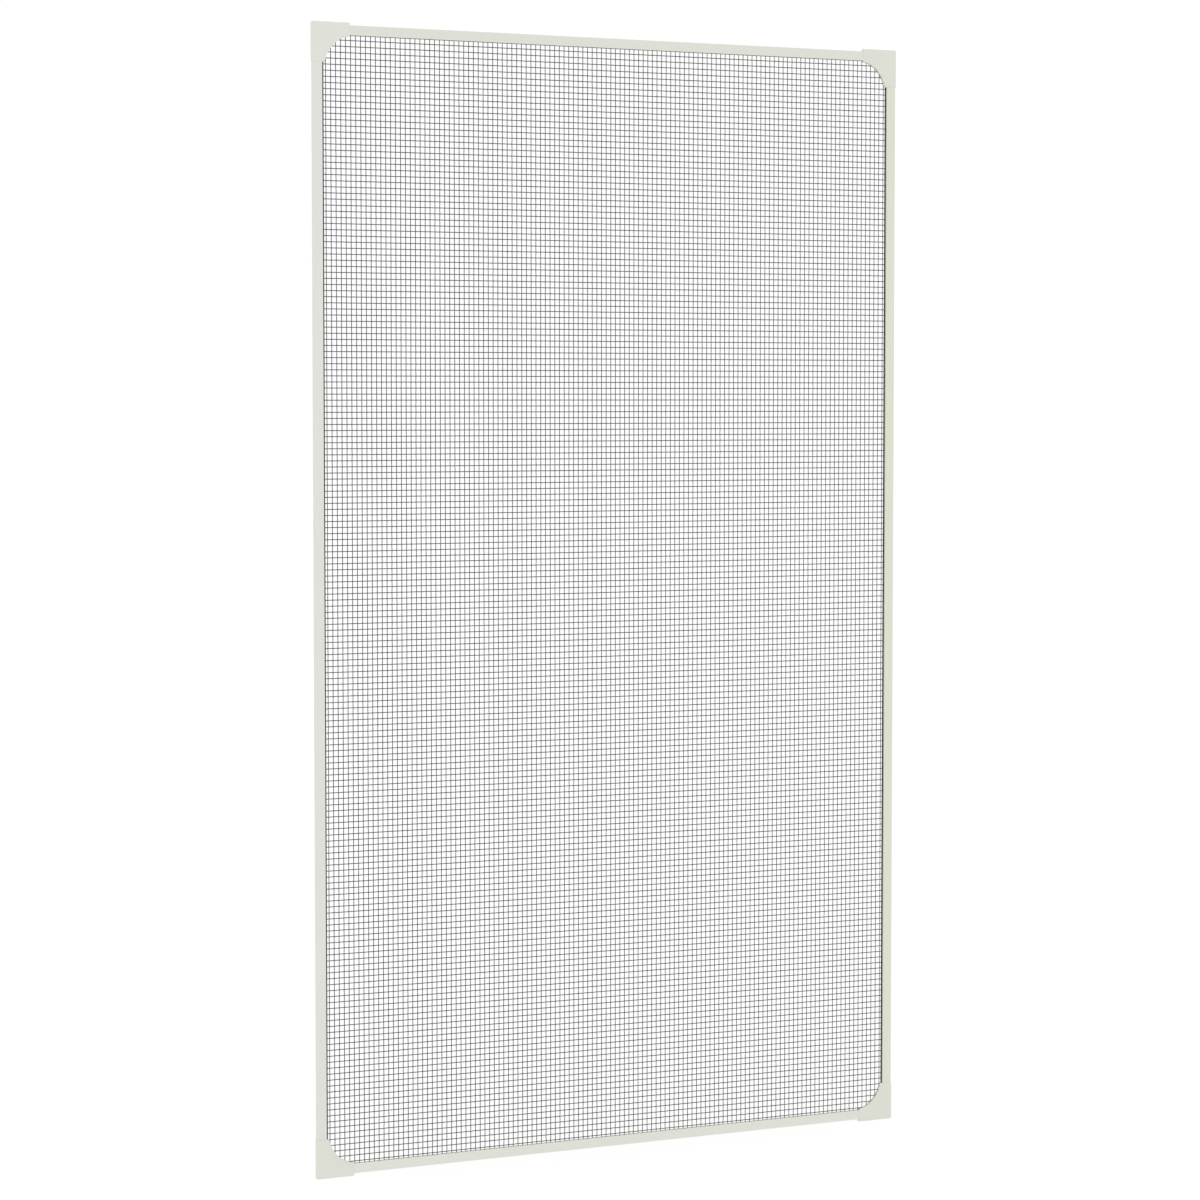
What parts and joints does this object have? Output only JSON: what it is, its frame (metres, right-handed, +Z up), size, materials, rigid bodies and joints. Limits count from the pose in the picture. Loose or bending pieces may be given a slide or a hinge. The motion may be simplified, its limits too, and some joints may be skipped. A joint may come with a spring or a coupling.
{
  "type": "window screen frame",
  "caption": "Slim rectangular insect screen for a window, with rails, moulded corner pieces, gaskets, magnetic strips and a woven mesh.",
  "frame": {"origin": "middle of the whole screen", "axes": "+Z up the screen's long side, +X across it, +Y out of its back towards the window"},
  "size_m": [0.8, 0.005, 1.4],
  "materials": {
    "rail": "satin",
    "corner": "matte",
    "gasket": "matte",
    "magnet": "matte",
    "mesh": "matte"
  },
  "bodies": {
    "root": {"left_rail": "rail", "right_rail": "rail", "top_rail": "rail", "bottom_rail": "rail", "top_left_corner": "corner", "top_right_corner": "corner", "bottom_left_corner": "corner", "bottom_right_corner": "corner", "left_gasket": "gasket", "right_gasket": "gasket", "top_gasket": "gasket", "bottom_gasket": "gasket", "left_magnet_strip": "magnet", "right_magnet_strip": "magnet", "top_magnet_strip": "magnet", "bottom_magnet_strip": "magnet", "insect_mesh": "mesh"}
  },
  "joints": []
}
